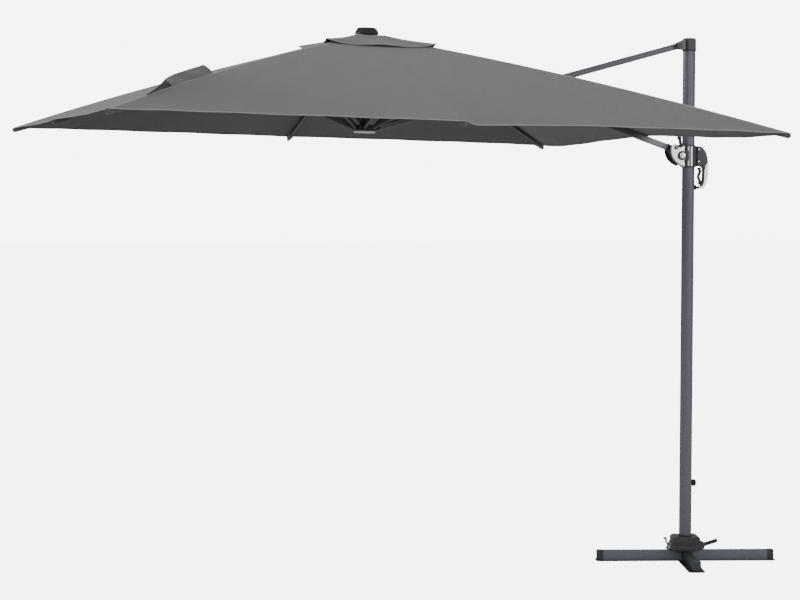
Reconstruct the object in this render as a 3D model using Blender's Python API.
"""Cantilever parasol with a side mast, crossed arms that fold the canopy, a swivel base and a
steel cross foot.

Metres, +Z up. The origin is on the ground, on the mast's axis. -X points from the mast to the
canopy's centre, and the arms lie in the plane y = 0. Front is -Y, back is +Y, and outer is the
canopy's -X side. Run with: blender --background --python part.py
"""

import math
from collections import namedtuple

import bmesh
import bpy
from mathutils import Matrix, Vector

for old in list(bpy.data.objects):
    bpy.data.objects.remove(old, do_unlink=True)

# foot and mast
LEG_TURN = math.radians(-15.2)  # the cross stands turned from the arm plane
MAST_R = 0.032

# pivots of the arms
TOP_PIVOT = Vector((-0.061, 0.0, 2.616))
ARM_PIVOT = Vector((-0.054, 0.0, 2.063))
ARM_SIDE = 0.014                # boom on the back, tie bar on the front of the arm plane
CROSSING = Vector((-0.9450, 0.0, 2.3769))
CROSS_BOLT_R = 0.0100
CROSS_BOLT_GAP, CROSS_BOLT_OUT = 0.0004, 0.0060   # near and far face, off the side of its arm
TOP_BORE_R = 0.0056
ARM_BORE_R = 0.0066
BOOM_BOLT = Vector((-0.0870, 0.0, 2.1035))
BOOM_BOLT_HOLE_R = 0.0046

# canopy
CANOPY_CENTRE = Vector((-1.709, 0.0, 2.1688))     # in the rim plane
CANOPY_TILT = 0.0238            # the mast side hangs a little lower
HALF = 1.500                    # half of the square canopy's side
RISE = 0.465
BOW = 0.014
RIDGE_BOW = 0.027               # the corner ridges arch more than the middle seams
HUB_R, HUB_Z = 0.049, 0.420     # pivot ring of the top hub, above the rim plane
RUN_R, RUN_Z = 0.044, 0.016     # pivot ring of the lower hub
STRUT_SIDE = -0.0170            # struts lie beside their ribs


# ---------------------------------------------------------------- materials

Finish = namedtuple("Finish", "name colour roughness metallic")

COAT = Finish("anthracite_coat", colour=(0.085, 0.090, 0.105), roughness=0.42, metallic=0.55)
BLACK = Finish("black_moulding", colour=(0.022, 0.023, 0.026), roughness=0.55, metallic=0.0)
GREY = Finish("dark_grey_moulding", colour=(0.035, 0.037, 0.043), roughness=0.50, metallic=0.0)
SILVER = Finish("bare_aluminium", colour=(0.72, 0.73, 0.75), roughness=0.30, metallic=1.0)
STEEL = Finish("zinc_steel", colour=(0.55, 0.56, 0.58), roughness=0.35, metallic=1.0)
CLOTH = Finish("polyester", colour=(0.19, 0.19, 0.19), roughness=0.90, metallic=0.0)


def make_material(piece, finish):
    """Each piece has its own material, named after the piece and the finish."""
    mat = bpy.data.materials.new("%s_%s" % (piece, finish.name))
    mat.use_nodes = True
    inputs = mat.node_tree.nodes["Principled BSDF"].inputs
    inputs["Base Color"].default_value = (*finish.colour, 1.0)
    inputs["Roughness"].default_value = finish.roughness
    inputs["Metallic"].default_value = finish.metallic
    return mat


# ---------------------------------------------------------------- objects

def link(name, data, parent):
    obj = bpy.data.objects.new(name, data)
    bpy.context.scene.collection.objects.link(obj)
    obj.parent = parent
    return obj


def empty(name, parent=None, at=(0, 0, 0), turn=(0, 0, 0)):
    obj = link(name, None, parent)
    obj.empty_display_size = 0.05
    obj.location = at
    obj.rotation_euler = turn
    return obj


def make_mesh(name, bm):
    """Welds the shape, turns its faces outwards and stores it as a mesh."""
    bmesh.ops.remove_doubles(bm, verts=bm.verts, dist=1e-6)
    bmesh.ops.recalc_face_normals(bm, faces=bm.faces)
    if bm.calc_volume(signed=True) < 0:
        bmesh.ops.reverse_faces(bm, faces=bm.faces)
    mesh = bpy.data.meshes.new(name)
    bm.to_mesh(mesh)
    bm.free()
    return mesh


def add_mesh(name, mesh, finish, parent, at=(0, 0, 0), turn=(0, 0, 0), smooth=True):
    obj = link(name, mesh, parent)
    obj.location = at
    obj.rotation_euler = turn
    if not mesh.materials:
        mesh.materials.append(make_material(name, finish))
    if smooth:
        mesh.shade_smooth()
        mesh.set_sharp_from_angle(angle=math.radians(32))
    return obj


def add(name, bm, finish, parent, **placing):
    return add_mesh(name, make_mesh(name, bm), finish, parent, **placing)


def boolean(obj, name, bm, operation):
    """Combines a closed shape, given in the object's own coordinates, with the object."""
    tool = link(name, make_mesh(name, bm), obj)
    tool.hide_render = True
    tool.display_type = "WIRE"
    mod = obj.modifiers.new(name, "BOOLEAN")
    mod.operation = operation
    mod.solver = "EXACT"
    mod.object = tool


def cut(obj, name, bm):
    boolean(obj, name, bm, "DIFFERENCE")


def join(obj, name, bm):
    boolean(obj, name, bm, "UNION")


# ---------------------------------------------------------------- shapes

def add_box(bm, low, high):
    """Adds a box between two opposite corners and returns its vertices."""
    low, high = Vector(low), Vector(high)
    made = bmesh.ops.create_cube(bm, size=1.0)["verts"]
    for v in made:
        v.co = Vector((low[i] + high[i]) / 2 + v.co[i] * (high[i] - low[i]) for i in range(3))
    return made


def box(low, high):
    bm = bmesh.new()
    add_box(bm, low, high)
    return bm


def rod(start, end, radius, n=20):
    """A solid cylinder from start to end."""
    start, end = Vector(start), Vector(end)
    axis = end - start
    bm = bmesh.new()
    made = bmesh.ops.create_cone(bm, cap_ends=True, segments=n, radius1=radius, radius2=radius,
                                 depth=axis.length)["verts"]
    turn = axis.to_track_quat("Z", "Y").to_matrix().to_4x4()
    bmesh.ops.transform(bm, matrix=Matrix.Translation((start + end) / 2) @ turn, verts=made)
    return bm


def rod_y(y0, y1, radius, n, at=(0, 0, 0)):
    """A solid cylinder square to the arm plane, through the x and z of a point."""
    return rod((at[0], y0, at[2]), (at[0], y1, at[2]), radius, n)


def turned(profile, n=32, centre=(0, 0, 0)):
    """A closed ring or solid of revolution about +Z, from (radius, height) points.

    A radius of 0 lies on the axis.
    """
    bm = bmesh.new()
    cx, cy, cz = centre
    rings = []
    for radius, z in profile:
        if radius < 1e-9:
            rings.append([bm.verts.new((cx, cy, cz + z))])
            continue
        angles = [2 * math.pi * k / n for k in range(n)]
        rings.append([bm.verts.new((cx + radius * math.cos(angle),
                                    cy + radius * math.sin(angle), cz + z))
                      for angle in angles])
    count = len(rings)
    closed = profile[0][0] > 1e-9 or profile[-1][0] > 1e-9
    for i in range(count if closed else count - 1):
        near, far = rings[i], rings[(i + 1) % count]
        if len(near) == 1 and len(far) == 1:
            continue
        for k in range(n):
            m = (k + 1) % n
            if len(near) == 1:
                bm.faces.new((near[0], far[m], far[k]))
            elif len(far) == 1:
                bm.faces.new((near[k], near[m], far[0]))
            else:
                bm.faces.new((near[k], near[m], far[m], far[k]))
    return bm


def loft(rings):
    """A solid through rings with equal numbers of points, closed at both ends."""
    bm = bmesh.new()
    loops = [[bm.verts.new(point) for point in ring] for ring in rings]
    count = len(loops[0])
    for near, far in zip(loops, loops[1:]):
        for k in range(count):
            m = (k + 1) % count
            bm.faces.new((near[k], near[m], far[m], far[k]))
    bm.faces.new(loops[0])
    bm.faces.new(loops[-1])
    return bm


def extruded(points, vec):
    bm = bmesh.new()
    face = bm.faces.new([bm.verts.new(point) for point in points])
    grown = bmesh.ops.extrude_face_region(bm, geom=[face])["geom"]
    verts = [item for item in grown if isinstance(item, bmesh.types.BMVert)]
    bmesh.ops.translate(bm, vec=vec, verts=verts)
    return bm


def slab(outline, y0, y1):
    """An outline in X and Z, extruded from y0 to y1."""
    return extruded([(x, y0, z) for x, z in outline], (0, y1 - y0, 0))


def arc(cx, cz, radius, start, end, n):
    """Points of an arc between two angles in degrees."""
    angles = [math.radians(start + (end - start) * k / n) for k in range(n + 1)]
    return [(cx + radius * math.cos(angle), cz + radius * math.sin(angle)) for angle in angles]


def cut_rectangle(width, height, corner):
    """A rectangle about the origin with its corners cut at 45 degrees."""
    w, h, c = width / 2, height / 2, corner
    return [(-w, -h + c), (-w + c, -h), (w - c, -h), (w, -h + c),
            (w, h - c), (w - c, h), (-w + c, h), (-w, h - c)]


def swept(path, profile, y=0.0, slim=0.0):
    """A profile carried along a path in the XZ plane, with both ends closed.

    slim is the share by which its underside rises over the last fifth.
    """
    rings = []
    last = len(path) - 1
    for i, (x, z) in enumerate(path):
        keep = 1 - slim * max(0.0, i / last - 0.8) / 0.2
        x0, z0 = path[max(i - 1, 0)]
        x1, z1 = path[min(i + 1, last)]
        along = Vector((x1 - x0, 0, z1 - z0)).normalized()
        up = Vector((-along.z, 0, along.x))
        if up.z < 0:
            up = -up
        rings.append([Vector((x, y + side, z)) + up * (high if high > 0 else high * keep)
                      for side, high in profile])
    return loft(rings)


def arm_end(pivot, radius, end, width, y):
    """A flat tongue with a half-round end about a pivot, running to end: both are (x, z)."""
    along = (Vector(end) - Vector(pivot)).normalized()
    side = (along.y * radius, -along.x * radius)
    turn = math.degrees(math.atan2(along.y, along.x))
    outline = arc(*pivot, radius, turn + 90, turn + 270, 10)
    outline += [(end[0] + side[0], end[1] + side[1]), (end[0] - side[0], end[1] - side[1])]
    return slab(outline, y - width / 2, y + width / 2)


def local(origin, points):
    """(x, z) points measured from an origin."""
    return [(x - origin.x, z - origin.z) for x, z in points]


# ---------------------------------------------------------------- fabric lines
# Heights above the rim plane; t is 0 at the canopy's centre and 1 at its rim.

def corner_line(t):
    return RISE * (1 - t) + RIDGE_BOW * 4 * t * (1 - t) + 0.008 * t


def middle_line(t):
    return RISE * (1 - t) + BOW * 4 * t * (1 - t) * 0.8 + 0.010 * t


def boom_line(t):
    """On the mast side the cloth rides over the boom."""
    return middle_line(t) + 0.004 + 0.016 * t * t


def square_place(x, y):
    """t of a point, and how far round it is: 0 on a middle seam, 1 on a corner ridge."""
    big, small = max(abs(x), abs(y)), min(abs(x), abs(y))
    return big / HALF, small / big if big > 1e-9 else 0.0


def fabric(x, y):
    """Height of the cloth above the rim plane, in the canopy's own frame."""
    t, w = square_place(x, y)
    sag = 0.010 * math.sin(math.pi * w) * t
    if x > 0 and abs(x) >= abs(y):
        mid = boom_line(t)
        corner_share = 1 - (1 - w) ** 2.2
        sag += 0.016 * math.sin(math.pi * w ** 2.2) * t ** 6
    else:
        mid = middle_line(t)
        corner_share = w * w * (3 - 2 * w) * 0.35 + w * 0.65
    return mid * (1 - corner_share) + corner_line(t) * corner_share - sag


def hem_inset(x, y):
    """How far the rim is pulled inwards: most between the rib ends."""
    w = square_place(x, y)[1]
    return 0.002 + 0.034 * math.sin(math.pi * w) ** 0.8


# ---------------------------------------------------------------- empties on the joint axes

PEDAL = Vector((0.0895, 0.0, 0.0755))
LATCH = Vector((-0.0870, 0.0, 0.0720))
KNOB = Vector((0.0330, 0.0, 0.3955))
TRIGGER = Vector((0.0600, 0.0, 2.0010))
LEVER = Vector((-0.0650, -0.0505, 2.1120))

root = empty("base_frame")
cross = empty("cross_frame", root, turn=(0, 0, LEG_TURN))
mast = empty("mast_axis", root)
slider = empty("slider_axis", mast, ARM_PIVOT)
boom = empty("boom_axis", slider)
tie = empty("tie_axis", mast, TOP_PIVOT)
canopy_frame = empty("canopy_frame", boom, CANOPY_CENTRE - ARM_PIVOT, (0, CANOPY_TILT, 0))
runner_frame = empty("runner_frame", tie, CANOPY_CENTRE - TOP_PIVOT, (0, CANOPY_TILT, 0))
swivel = empty("swivel_frame", mast, turn=(0, 0, LEG_TURN))
pedal = empty("pedal_axis", swivel, PEDAL)
latch = empty("latch_axis", swivel, LATCH)
knob = empty("knob_axis", mast, KNOB)
trigger = empty("trigger_axis", slider, TRIGGER - ARM_PIVOT)
lever = empty("tilt_lever_axis", boom, LEVER - ARM_PIVOT)


def canopy_to_arm(x, z):
    """A point of the arm plane, from the canopy's frame to the whole parasol's."""
    c, s = math.cos(CANOPY_TILT), math.sin(CANOPY_TILT)
    return CANOPY_CENTRE.x + x * c + z * s, CANOPY_CENTRE.z - x * s + z * c


# ---------------------------------------------------------------- foot

GAP = 0.0005                    # clearance between the crossing bars, and of the caps
LEG_HALF = 0.460                # half of the bar that runs nearly along the arms
CROSS_HALF = 0.378              # half of the bar across it
LEG_W, LEG_H = 0.036, 0.053
LEG_EDGE = 0.003                # cut along the top edges
FLANGE_W, FLANGE_T = 0.084, 0.004
FLANGE_CORNER = 0.012
OVER_FLANGE = FLANGE_T + 0.0009
CAP_L = 0.030
CAP_BACK = 0.008                # from the flange's tip back to the cap's nominal end
LAP_Z = 0.027                   # the upper bar's channel sits over the lower one's from here


def build_leg(name, half_length, turn, laps):
    """A box section with a wide bottom flange, one piece from tip to tip."""
    half = LEG_W / 2
    tube = half_length - CAP_BACK - CAP_L
    profile = [(-half, FLANGE_T), (-half, LEG_H - LEG_EDGE), (-half + LEG_EDGE, LEG_H),
               (half - LEG_EDGE, LEG_H), (half, LEG_H - LEG_EDGE), (half, FLANGE_T)]
    bm = loft([[(x, y, z) for y, z in profile] for x in (-tube, tube)])
    leg = add(name, bm, COAT, cross, turn=(0, 0, turn))
    outline = cut_rectangle(2 * half_length, FLANGE_W, FLANGE_CORNER)
    plate = extruded([(x, y, 0) for x, y in outline], (0, 0, FLANGE_T + 0.0004))
    join(leg, name + "_plate", plate)
    for i, (low, high) in enumerate(laps):
        cut(leg, "%s_lap_%d" % (name, i), box(low, high))


def build_legs():
    """Two bars lapped where they cross; bar b also gives way to the flange of bar a."""
    side = LEG_W / 2 + GAP
    flange_side = FLANGE_W / 2 + GAP
    build_leg("cross_bar_a", LEG_HALF, 0, [((-side, -0.05, LAP_Z), (side, 0.05, 0.06))])
    build_leg("cross_bar_b", CROSS_HALF, math.pi / 2, [
        ((-side, -0.05, -0.01), (side, 0.05, LAP_Z + GAP)),
        ((-flange_side, -0.06, -0.01), (flange_side, 0.06, OVER_FLANGE)),
    ])


def build_leg_caps():
    """One cap mesh, turned to the +X, +Y, -X and -Y ends of the bars."""
    x0, x1 = LEG_HALF - CAP_BACK - CAP_L + GAP, LEG_HALF - 0.006
    side = LEG_W / 2 + 0.001
    bm = box((x0, -side, OVER_FLANGE), (x1, side, LEG_H + 0.0006))
    edges = [e for e in bm.edges if all(v.co.x > x1 - 1e-4 for v in e.verts)]
    bmesh.ops.bevel(bm, geom=edges, offset=0.002, segments=2, affect="EDGES")
    mesh = make_mesh("leg_cap_right", bm)
    shift = CROSS_HALF - LEG_HALF
    for k, (side_name, y) in enumerate((("right", 0), ("back", shift),
                                        ("left", 0), ("front", -shift))):
        add_mesh("leg_cap_" + side_name, mesh, GREY, cross,
                 at=(0, y, 0), turn=(0, 0, k * math.pi / 2))


# (radius, height): a disc on the foot with a spigot up inside the mast
BASE_FLANGE = [(0, 0.0538), (0.070, 0.0538), (0.072, 0.0550), (0.072, 0.0610),
               (0.0705, 0.0625), (0.0290, 0.0625), (0.0290, 0.300), (0.0, 0.300)]


def build_foot():
    build_legs()
    build_leg_caps()
    add("base_flange", turned(BASE_FLANGE, 36), GREY, root)


# ---------------------------------------------------------------- mast

MAST_IN = 0.0300
MAST_Z0, MAST_Z1 = 0.0640, 2.6440
CAP_R, CAP_GAP = 0.0350, 0.0008
CAP_Z0, CAP_TOP = 2.590, 2.6560


def build_mast():
    add("mast_tube", turned([(MAST_R, MAST_Z1), (MAST_R, MAST_Z0),
                             (MAST_IN, MAST_Z0), (MAST_IN, MAST_Z1)], 40), COAT, mast)
    inner = MAST_R + CAP_GAP
    cap = turned([(0, CAP_TOP), (0.026, CAP_TOP), (0.0335, CAP_TOP - 0.004),
                  (CAP_R, CAP_TOP - 0.009), (CAP_R, CAP_Z0), (inner, CAP_Z0),
                  (inner, MAST_Z1 + CAP_GAP), (0, MAST_Z1 + CAP_GAP)], 36)
    add("mast_cap", cap, BLACK, mast)


def build_top_clevis():
    """The clevis that holds the tie bar, beside the mast cap on the canopy side."""
    outline = arc(TOP_PIVOT.x, TOP_PIVOT.z, 0.018, 110, 262, 10)
    outline += [(-0.0356, 2.5945), (-0.0356, 2.6460)]
    clevis = add("top_clevis", slab(outline, -0.034, 0.006), BLACK, mast)
    cut(clevis, "clevis_slot", box((-0.10, -0.0268, 2.58), (-0.0405, -0.0012, 2.66)))
    cut(clevis, "clevis_bore", rod_y(-0.05, 0.02, TOP_BORE_R, 16, TOP_PIVOT))
    bolt = add("top_pivot_bolt", rod_y(-0.0385, -0.0345, 0.0100, 20, TOP_PIVOT), BLACK, mast)
    join(bolt, "top_pivot_shank", rod_y(-0.0365, 0.0125, 0.0050, 20, TOP_PIVOT))


# (radius, height) along the knob's own axis
KNOB_PROFILE = [(0, 0.0), (0.0060, 0.0), (0.0060, 0.0050), (0.0170, 0.0050),
                (0.0185, 0.0070), (0.0185, 0.0185), (0.0165, 0.0205), (0, 0.0210)]
KNOB_LOBES = 8


def build_knob():
    """A lobed knob on the side of the mast away from the canopy."""
    bm = turned(KNOB_PROFILE, 32)
    for v in bm.verts:
        if v.co.x ** 2 + v.co.y ** 2 > 0.0160 ** 2:
            angle = math.atan2(v.co.y, v.co.x)
            v.co.xy *= 1 - 0.055 * (1 + math.cos(KNOB_LOBES * angle))
    add("mast_knob", bm, BLACK, knob, turn=(0, math.pi / 2, 0))


# ---------------------------------------------------------------- swivel

# outlines are (x, z)
PEDAL_BRACKET = [(0.0756, 0.0570), (0.0920, 0.0570), (0.0990, 0.0630),
                 (0.0990, 0.0880), (0.0930, 0.0950), (0.0756, 0.0950)]
# from the latch's axis
LATCH_BRACKET = [(0.0112, -0.0080), (0.0112, 0.0190), (0.0030, 0.0190),
                 (0.0030, 0.0060), (-0.0035, 0.0060), (-0.0035, -0.0080)]
LATCH_OUTLINE = [(0.0030, -0.0050), (0.0035, 0.0120), (-0.0080, 0.0200), (-0.0090, 0.0420),
                 (-0.0190, 0.0430), (-0.0215, 0.0400), (-0.0215, 0.0370), (-0.0125, 0.0370),
                 (-0.0120, 0.0170), (-0.0035, 0.0080), (-0.0035, -0.0050)]


def build_block(name, half, corner, z0, z1, chamfer):
    """A square block with cut corners and a chamfered top, bored for the mast."""
    rings = [[(x, y, z) for x, y in cut_rectangle(2 * size, 2 * size, corner)]
             for size, z in ((half, z0), (half, z1 - chamfer), (half - chamfer, z1))]
    block = add(name, loft(rings), GREY, swivel)
    cut(block, name + "_bore", rod((0, 0, z0 - 0.02), (0, 0, z1 + 0.02), 0.0345, 36))


def build_pedal():
    bracket = add("pedal_bracket", slab(PEDAL_BRACKET, -0.0160, 0.0160), BLACK, swivel,
                  smooth=False)
    cut(bracket, "pedal_slot", box((0.0780, -0.0110, 0.05), (0.12, 0.0110, 0.10)))
    arm = add("foot_pedal", rod((0, 0, 0), (0.0745, 0, 0.0245), 0.0085, 14), BLACK, pedal)
    join(arm, "pedal_barrel", rod_y(-0.0104, 0.0104, 0.0098, 16))


def build_latch():
    bracket = add("latch_bracket", slab(LATCH_BRACKET, -0.0230, 0.0230), STEEL, swivel,
                  at=LATCH, smooth=False)
    cut(bracket, "latch_slot", box((-0.02, -0.0165, -0.02), (0.0050, 0.0165, 0.02)))
    add("foot_latch", slab(LATCH_OUTLINE, -0.0155, 0.0155), STEEL, latch, smooth=False)


def build_swivel():
    """Housing and smaller cover, both riding with the mast."""
    build_block("swivel_housing", half=0.0750, corner=0.0120, z0=0.0635, z1=0.0925,
                chamfer=0.0030)
    build_block("swivel_cover", half=0.0700, corner=0.0160, z0=0.0932, z1=0.1250,
                chamfer=0.0060)
    build_pedal()
    build_latch()


# ---------------------------------------------------------------- slider

SLEEVE_R, SLEEVE_IN = 0.0395, 0.0328
SLEEVE_Z0, SLEEVE_Z1 = 2.0080, 2.1120


def build_sleeve():
    """The sleeve round the mast, with an ear on each side for the boom's pivot."""
    wall = 0.0330
    bm = turned([(SLEEVE_R, SLEEVE_Z1), (SLEEVE_R, SLEEVE_Z0), (wall, SLEEVE_Z0),
                 (wall, SLEEVE_Z1)], 36, (-ARM_PIVOT.x, 0, -ARM_PIVOT.z))
    sleeve = add("slider_sleeve", bm, BLACK, slider)
    ear = arc(0, 0, 0.0150, 90, 270, 10)
    ear += [(0.0330, -0.0250), (0.0400, -0.0250), (0.0400, 0.0250), (0.0330, 0.0250)]
    join(sleeve, "ear_front", slab(ear, -0.0396, -0.0290))
    join(sleeve, "ear_back", slab(ear, 0.0290, 0.0396))
    cut(sleeve, "ear_bore", rod_y(-0.06, 0.06, ARM_BORE_R, 16))
    bore = rod(Vector((0, 0, 1.99)) - ARM_PIVOT, Vector((0, 0, 2.13)) - ARM_PIVOT,
               SLEEVE_IN, 36)
    cut(sleeve, "sleeve_bore", bore)


def build_arm_pivot_bolt():
    bolt = add("arm_pivot_bolt", rod_y(-0.0505, -0.0443, 0.0235, 28), BLACK, slider)
    join(bolt, "arm_pivot_shank", rod_y(-0.0460, 0.0500, 0.0060, 20))


# D-shaped grip, (x, z): down the outside, then back up the inside
HANDLE_OUTLINE = [
    (0.0402, 2.1120), (0.0600, 2.1110), (0.0720, 2.1060), (0.0850, 2.0950), (0.0960, 2.0760),
    (0.1030, 2.0500), (0.1060, 2.0200), (0.1060, 1.9800), (0.1020, 1.9450), (0.0930, 1.9160),
    (0.0800, 1.9000), (0.0640, 1.8950), (0.0520, 1.8960), (0.0520, 1.9080), (0.0640, 1.9090),
    (0.0740, 1.9180), (0.0800, 1.9420), (0.0820, 1.9750), (0.0790, 2.0000), (0.0700, 2.0090),
    (0.0402, 2.0090),
]
TRIGGER_STEPS = 10


def build_handle():
    """The grip on the side away from the canopy, with two screws on its front."""
    bm = slab(local(ARM_PIVOT, HANDLE_OUTLINE), -0.0170, 0.0170)
    edges = [e for e in bm.edges if abs(e.verts[0].co.y - e.verts[1].co.y) < 1e-6]
    bmesh.ops.bevel(bm, geom=edges, offset=0.0045, segments=2, affect="EDGES")
    add("handle_shell", bm, GREY, slider)
    for name, z in (("handle_screw_top", 2.0960), ("handle_screw_low", 2.0340)):
        place = Vector((0.0500, 0, z)) - ARM_PIVOT
        add(name, rod_y(-0.0200, -0.0173, 0.0052, 16, place), STEEL, slider)


def build_trigger():
    """A wavy strip hanging from a barrel."""
    last = TRIGGER_STEPS - 1
    wave = [(0.0045 * math.sin(k * 1.05) * (1 if k < last else 0.4), -0.0040 - 0.0090 * k)
            for k in range(TRIGGER_STEPS)]
    outline = [(x - 0.0040, z) for x, z in wave]
    outline += [(x + 0.0042, z) for x, z in reversed(wave)]
    strip = add("handle_trigger", slab(outline, -0.0100, 0.0100), BLACK, trigger)
    join(strip, "trigger_barrel", rod_y(-0.0110, 0.0110, 0.0055, 14, (0, 0, -0.0020)))


def build_lock_tail():
    """A small block by the mast, with a foot towards the grip's lower end."""
    tail = add("lock_tail", box(Vector((0.0370, -0.0050, 1.8900)) - ARM_PIVOT,
                                Vector((0.0450, 0.0050, 1.9160)) - ARM_PIVOT),
               BLACK, slider, smooth=False)
    join(tail, "lock_tail_foot", box(Vector((0.0400, -0.0040, 1.8960)) - ARM_PIVOT,
                                     Vector((0.0518, 0.0040, 1.9060)) - ARM_PIVOT))


def build_slider():
    build_sleeve()
    build_arm_pivot_bolt()
    build_handle()
    build_trigger()
    build_lock_tail()


# ---------------------------------------------------------------- boom

BOOM_W, BOOM_H = 0.025, 0.031
ARM_EDGE = 0.004                # cut along the edges of both arms' tubes
BOOM_START = 0.1040             # distances from the mast's axis towards the canopy
BOOM_EASE = 1.30                # from here the boom bends to meet the top hub
BOOM_STEPS = 16
BOOM_END_R = 0.066              # tube's end, from the canopy's axis

# (x, z)
TILT_PLATE = [
    (-0.0400, 2.0110), (-0.0480, 2.0125), (-0.0600, 2.0160), (-0.0740, 2.0235),
    (-0.0880, 2.0350), (-0.1000, 2.0480), (-0.1080, 2.0620), (-0.1120, 2.0780),
    (-0.1125, 2.0950), (-0.1100, 2.1120), (-0.1020, 2.1215), (-0.0900, 2.1215),
    (-0.0700, 2.1165), (-0.0480, 2.1120), (-0.0400, 2.1090), (-0.0400, 2.1010),
    (-0.0450, 2.0970), (-0.0400, 2.0920), (-0.0390, 2.0400), (-0.0460, 2.0340),
    (-0.0400, 2.0290),
]
# (x, z) from the arm pivot
BOOM_ROOT = [(0.0, -0.0128), (-0.0230, -0.0100), (-0.0480, 0.0150), (-0.0544, 0.0252),
             (-0.0444, 0.0545), (-0.0390, 0.0515), (-0.0300, 0.0415), (-0.0120, 0.0210),
             (-0.0040, 0.0122), (0.0, 0.0128)]


def build_tilt_lever():
    """A lever with a ball end, on the outside of the front plate."""
    arm = add("tilt_lever", rod((0, 0, 0), (-0.0070, 0, 0.0350), 0.0058, 14), BLACK, lever)
    bm = bmesh.new()
    ball = bmesh.ops.create_uvsphere(bm, u_segments=14, v_segments=8, radius=0.0098)["verts"]
    bmesh.ops.translate(bm, vec=(-0.0080, 0, 0.0400), verts=ball)
    join(arm, "lever_ball", bm)
    join(arm, "lever_barrel", rod_y(-0.0045, 0.0060, 0.0070, 14))


def cut_boom_holes(obj, pivot_name, bolt_name):
    """Holes for the arm pivot and the boom bolt."""
    cut(obj, pivot_name, rod_y(-0.06, 0.06, ARM_BORE_R, 16))
    cut(obj, bolt_name, rod_y(-0.06, 0.06, BOOM_BOLT_HOLE_R, 12, BOOM_BOLT - ARM_PIVOT))


def build_tilt_plates():
    for name, y0, y1 in (("tilt_plate_front", -0.0438, -0.0402),
                         ("tilt_plate_back", 0.0402, 0.0438)):
        plate = add(name, slab(local(ARM_PIVOT, TILT_PLATE), y0, y1), SILVER, boom,
                    smooth=False)
        cut_boom_holes(plate, name + "_bore", name + "_bolt_hole")


def build_boom_bolt():
    place = BOOM_BOLT - ARM_PIVOT
    bolt = add("boom_bolt", rod_y(-0.0490, -0.0443, 0.0080, 6, place), STEEL, boom)
    join(bolt, "boom_bolt_shank", rod_y(-0.0450, 0.0480, 0.0040, 14, place))


def build_boom_root():
    """The casting between the plates that carries the boom tube."""
    casting = add("boom_root", slab(BOOM_ROOT, -0.0280, 0.0280), GREY, boom)
    join(casting, "boom_root_barrel", rod_y(-0.0280, 0.0280, 0.0130, 20))
    join(casting, "boom_root_boss", rod_y(-0.0396, 0.0396, 0.0070, 18, BOOM_BOLT - ARM_PIVOT))
    cut_boom_holes(casting, "boom_root_bore", "boom_root_bolt_hole")


def boom_z(distance):
    """Height of the boom's plain curve, at a distance from the mast's axis."""
    run = distance - 0.112
    return 2.1060 + 0.345 * run - 0.0237 * run * run


def boom_path(hub_x, hub_z):
    """Centre line of the boom tube, lifted gradually to the height of its hub pivot."""
    end = -canopy_to_arm(BOOM_END_R, HUB_Z)[0]
    lift = hub_z - boom_z(-hub_x)
    path = []
    for k in range(BOOM_STEPS + 1):
        distance = BOOM_START + (end - BOOM_START) * k / BOOM_STEPS
        ease = max(0.0, (distance - BOOM_EASE) / (-hub_x - BOOM_EASE))
        path.append((-distance, boom_z(distance) + lift * ease * ease))
    return path


def build_boom_tube():
    hub = canopy_to_arm(HUB_R, HUB_Z)
    path = local(ARM_PIVOT, boom_path(*hub))
    tube = swept(path, cut_rectangle(BOOM_W, BOOM_H, ARM_EDGE), ARM_SIDE)
    add("boom_tube", tube, COAT, boom)
    pivot = Vector(local(ARM_PIVOT, [hub])[0])
    tube_end = Vector(path[-1])
    tongue_end = tube_end + (pivot - tube_end).normalized() * 0.0006
    add("boom_tip", arm_end(pivot, 0.0110, tongue_end, 0.0140, ARM_SIDE), BLACK, boom)


def build_cross_bolt():
    """Crossing bolt, carried by the boom; the tie bar has its own washer."""
    face = ARM_SIDE + BOOM_W / 2
    bolt = rod_y(face + CROSS_BOLT_GAP, face + CROSS_BOLT_OUT, CROSS_BOLT_R, 18,
                 CROSSING - ARM_PIVOT)
    add("cross_bolt", bolt, STEEL, boom)


def build_boom():
    build_tilt_lever()
    build_tilt_plates()
    build_boom_bolt()
    build_boom_root()
    build_boom_tube()
    build_cross_bolt()


# ---------------------------------------------------------------- tie bar

TIE_W, TIE_H = 0.025, 0.030
TIE_INNER, TIE_OUTER = 0.041, 0.022     # from each pivot to the tube's end
TIE_RUN_OUT = 0.005             # its lower pivot lies this far outside the struts' ring
TIE_GAP = 0.0005                # between the tube and its end pieces


def build_tie():
    """The straight bar from the top clevis to the lower hub, in the tie axis's frame."""
    lower = canopy_to_arm(RUN_R + TIE_RUN_OUT, RUN_Z)
    pivot = Vector(local(TOP_PIVOT, [lower])[0])
    along = pivot.normalized()
    start = along * TIE_INNER
    stop = pivot - along * TIE_OUTER
    tube = swept([start, stop], cut_rectangle(TIE_W, TIE_H, ARM_EDGE), -ARM_SIDE)
    add("tie_tube", tube, COAT, tie)
    plug = add("tie_plug", arm_end((0, 0), 0.0150, start - along * TIE_GAP, 0.0240, -ARM_SIDE),
               BLACK, tie)
    cut(plug, "tie_plug_bore", rod_y(-0.05, 0.02, TOP_BORE_R, 16))
    add("tie_tip", arm_end(pivot, 0.0090, stop + along * TIE_GAP, 0.0110, STRUT_SIDE),
        BLACK, tie)
    face = -ARM_SIDE - TIE_W / 2
    washer = rod_y(face - CROSS_BOLT_OUT, face - CROSS_BOLT_GAP, CROSS_BOLT_R, 18,
                   CROSSING - TOP_PIVOT)
    add("cross_washer", washer, STEEL, tie)


# ---------------------------------------------------------------- hubs

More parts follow.
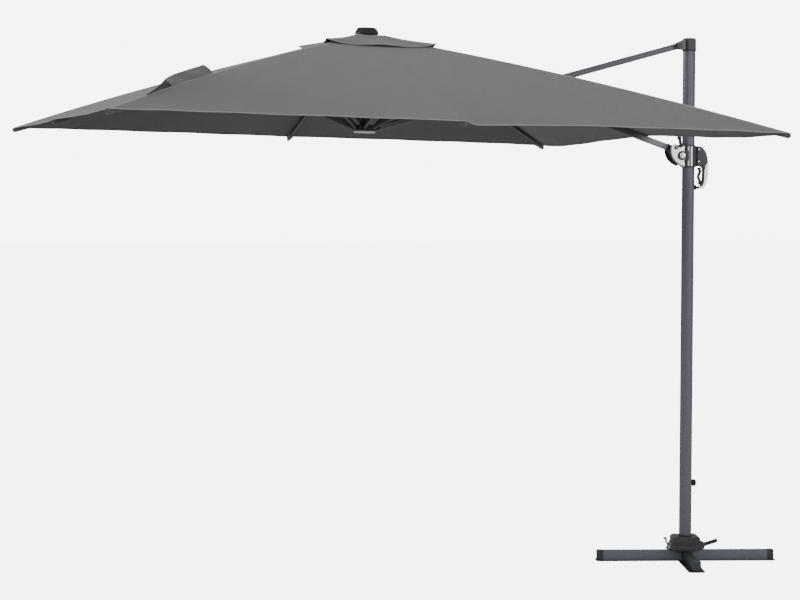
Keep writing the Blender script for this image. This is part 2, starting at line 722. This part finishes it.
# (radius, height from the hub's pivot ring)
TOP_HUB = [(0, 0.0225), (0.0540, 0.0225), (0.0560, 0.0205),
           (0.0560, -0.0140), (0.0520, -0.0180), (0, -0.0180)]
RUNNER_HUB = [(0, 0.0160), (0.0480, 0.0160), (0.0520, 0.0130),
              (0.0520, -0.0130), (0.0500, -0.0150), (0, -0.0150)]
RUNNER_RING = [(0.0515, -0.0155), (0.0525, -0.0165), (0.0525, -0.0195),
               (0.0500, -0.0215), (0.0, -0.0215), (0.0, -0.0155)]
# (radius, height above the rim plane): a cap on a thin stem that stands over the hub
FINIAL = [(0, 0.4996), (0.0400, 0.4996), (0.0450, 0.4975), (0.0570, 0.4740), (0.0570, 0.4690),
          (0.0545, 0.4680), (0.0080, 0.4680), (0.0080, HUB_Z + 0.0230), (0, HUB_Z + 0.0230)]


def hub_slots(inner, half_width, z0, z1, sides):
    """Eight radial slots, each shifted sideways by its entry in sides; the first faces +X."""
    bm = bmesh.new()
    for k, side in enumerate(sides):
        made = add_box(bm, (inner, side - half_width, z0), (0.08, side + half_width, z1))
        bmesh.ops.rotate(bm, cent=(0, 0, 0), matrix=Matrix.Rotation(k * math.pi / 4, 3, "Z"),
                         verts=made)
    return bm


def build_hubs():
    top_hub = add("top_hub", turned(TOP_HUB, 40, (0, 0, HUB_Z)), BLACK, canopy_frame)
    cut(top_hub, "top_hub_slots",
        hub_slots(0.0365, 0.0080, HUB_Z - 0.05, HUB_Z + 0.0160, [ARM_SIDE] + [0.0] * 7))
    runner = add("runner_hub", turned(RUNNER_HUB, 40, (0, 0, RUN_Z)), BLACK, runner_frame)
    cut(runner, "runner_slots",
        hub_slots(0.0335, 0.0070, RUN_Z - 0.0110, RUN_Z + 0.05, [STRUT_SIDE] * 8))
    add("runner_ring", turned(RUNNER_RING, 40, (0, 0, RUN_Z)), SILVER, runner_frame)
    add("finial_cap", turned(FINIAL, 36), BLACK, canopy_frame)


# ---------------------------------------------------------------- ribs and struts

RIB_W, RIB_H = 0.013, 0.022
RIB_EDGE = 0.003
RIB_START = HUB_R + 0.012       # distances from the canopy's axis
RIB_SHORT = 0.012               # ribs stop this far inside the rim
RIB_STEPS = 12
STRUT_W, STRUT_H = 0.011, 0.018
JOINT_R = 0.680                 # where each strut meets its rib
CLEAR = 0.005                   # from the fabric line down to the top of a rib

# fabric line, and the length of the seam against half the side
SEAMS = {"corner": (corner_line, math.sqrt(2.0)), "middle": (middle_line, 1.0)}
# name, azimuth in degrees, seam; the boom takes the place of a rib at azimuth 0
RIBS = (
    ("front", -90, "middle"), ("outer", 180, "middle"), ("back", 90, "middle"),
    ("mast_front", -45, "corner"), ("outer_front", -135, "corner"),
    ("outer_back", 135, "corner"), ("mast_back", 45, "corner"),
)


def rib_height(seam, radius):
    """Height of a rib's centre line, which dips towards the hub."""
    line, stretch = SEAMS[seam]
    dip = 0.0165 * math.exp(-(radius - HUB_R) / 0.10)
    return line(radius / stretch / HALF) - CLEAR - RIB_H / 2 - dip


def build_rib(name, azimuth, seam):
    place = (HUB_R * math.cos(azimuth), HUB_R * math.sin(azimuth), HUB_Z)
    pivot = empty("rib_%s_axis" % name, canopy_frame, place, (0, 0, azimuth))
    end = (HALF - RIB_SHORT) * SEAMS[seam][1]
    radii = [RIB_START + (end - RIB_START) * k / RIB_STEPS for k in range(RIB_STEPS + 1)]
    path = [(radius - HUB_R, rib_height(seam, radius) - HUB_Z) for radius in radii]
    bm = swept(path, cut_rectangle(RIB_W, RIB_H, RIB_EDGE), slim=0.6)
    rib = add("rib_" + name, bm, COAT, pivot)
    x, z = path[0]
    eye_x = x + 0.005
    eye = arm_end((0, 0), 0.0105, (eye_x, z * eye_x / x), RIB_W - 0.001, 0.0)
    join(rib, "rib_%s_eye" % name, eye)


def build_strut(name, azimuth, seam):
    """A round-ended strut from the lower hub, lying beside the rib."""
    c, s = math.cos(azimuth), math.sin(azimuth)
    place = (RUN_R * c - STRUT_SIDE * s, RUN_R * s + STRUT_SIDE * c, RUN_Z)
    pivot = empty("strut_%s_axis" % name, runner_frame, place, (0, 0, azimuth))
    joint = (JOINT_R - RUN_R, rib_height(seam, JOINT_R) - 0.002 - RUN_Z)
    slope = math.degrees(math.atan2(joint[1], joint[0]))
    outline = arc(0, 0, STRUT_H / 2, slope + 90, slope + 270, 8)
    outline += arc(*joint, STRUT_H / 2, slope - 90, slope + 90, 8)
    add("strut_" + name, slab(outline, -STRUT_W / 2, STRUT_W / 2), COAT, pivot)


def build_ribs():
    for name, degrees, seam in RIBS:
        azimuth = math.radians(degrees)
        build_rib(name, azimuth, seam)
        build_strut(name, azimuth, seam)


# ---------------------------------------------------------------- cloth: closed thin sheets

FABRIC_T = 0.0015
HEM_START = 0.75                # the hem's pull fades in from this share of the half side
VENT = 0.179                    # the vent's share of the half side


def ring_point(t, k, per_side):
    """Point k of a square ring at t, counted from +X; each side has 2 * per_side steps."""
    octant, j = divmod(k, per_side)
    w = j / per_side
    if octant % 2:
        w = 1 - w
    angle = (octant + 1) // 2 * math.pi / 2
    sign = 1 if octant % 2 == 0 else -1
    x, y = t * HALF, sign * w * t * HALF
    c, s = math.cos(angle), math.sin(angle)
    return x * c - y * s, x * s + y * c


def sheet(name, inner, outer, rings, per_side, lift=lambda x, y: 0.0, hemmed=False):
    """A square ring of cloth with thickness, between two fractions of the half side."""
    count = per_side * 8
    grid = []
    for i in range(rings + 1):
        t = inner + (outer - inner) * i / rings
        fade = max(0.0, (t - HEM_START) / (1 - HEM_START)) if hemmed else 0.0
        row = []
        for k in range(count):
            x, y = ring_point(t, k, per_side)
            scale = 1 - hem_inset(x, y) / HALF * fade ** 2
            x, y = x * scale, y * scale
            row.append((x, y, fabric(x, y) + lift(x, y)))
        grid.append(row)
    bm = bmesh.new()
    top = [[bm.verts.new(point) for point in row] for row in grid]
    under = [[bm.verts.new((x, y, z - FABRIC_T)) for x, y, z in row] for row in grid]
    for i in range(rings):
        for k in range(count):
            m = (k + 1) % count
            bm.faces.new((top[i][k], top[i + 1][k], top[i + 1][m], top[i][m]))
            bm.faces.new((under[i][k], under[i][m], under[i + 1][m], under[i + 1][k]))
    for i in (0, -1):
        for k in range(count):
            m = (k + 1) % count
            bm.faces.new((top[i][k], top[i][m], under[i][m], under[i][k]))
    return add(name, bm, CLOTH, canopy_frame)


def vent_lift(x, y):
    """The vent stands proud of the canopy and tucks in under the cap.

    Its corners flick up, the outer front one more than the others.
    """
    t, w = square_place(x, y)
    stand = 0.006 + 0.009 * (t / VENT) ** 1.5
    tuck = 0.0085 * max(0.0, 1 - t / 0.05)
    swell = 0.0072 * math.exp(-((t - 0.040) / 0.035) ** 2)
    flick = 0.022 if x < 0 and y < 0 else 0.005
    return stand - tuck + swell + flick * w ** 5 * (t / VENT) ** 4


STRAP_STEPS = 10
STRAP_W = 0.050
STRAP_START = 0.8707            # share of the ridge's length
STRAP_SIDE = 0.0156             # foot's distance from the ridge


def build_strap():
    """The closing strap, standing on the cloth beside the outer front ridge."""
    ridge = Vector((-1.0, -1.0, 0.0)).normalized()
    across = Vector((1.0, -1.0, 0.0)).normalized()
    length = HALF * math.sqrt(2)
    push = across * 0.0010      # half of the strap's thickness
    rows = []
    for k in range(STRAP_STEPS + 1):
        share = k / STRAP_STEPS
        width = STRAP_W * min(1.0, 0.30 + 1.6 * share)
        foot = ridge * (length * (STRAP_START - 0.2247 * share)) + across * STRAP_SIDE
        foot.z = fabric(foot.x, foot.y) + 0.004
        head = (ridge * (length * (STRAP_START - 0.1917 * share))
                + across * (STRAP_SIDE - 0.26 * width))
        head.z = foot.z - RISE * 0.033 * share + width * 0.965
        rows.append([foot + push, head + push, head - push, foot - push])
    rib_axis = bpy.data.objects["rib_outer_front_axis"]
    strap = add("closing_strap", loft(rows), CLOTH, rib_axis)
    # the strap moves with the rib, but its points are in the canopy's frame
    strap.matrix_parent_inverse = rib_axis.matrix_basis.inverted()


def build_cloth():
    canopy = sheet("canopy_cloth", 0.115, 1.0, rings=10, per_side=5, hemmed=True)
    cut(canopy, "tie_slit", box((0.720, -0.0330, 0.10), (0.890, 0.0010, 0.40)))
    sheet("vent_cloth", 0.0075, VENT, rings=5, per_side=4, lift=vent_lift)
    build_strap()


build_foot()
build_mast()
build_top_clevis()
build_swivel()
build_knob()
build_slider()
build_boom()
build_tie()
build_hubs()
build_ribs()
build_cloth()
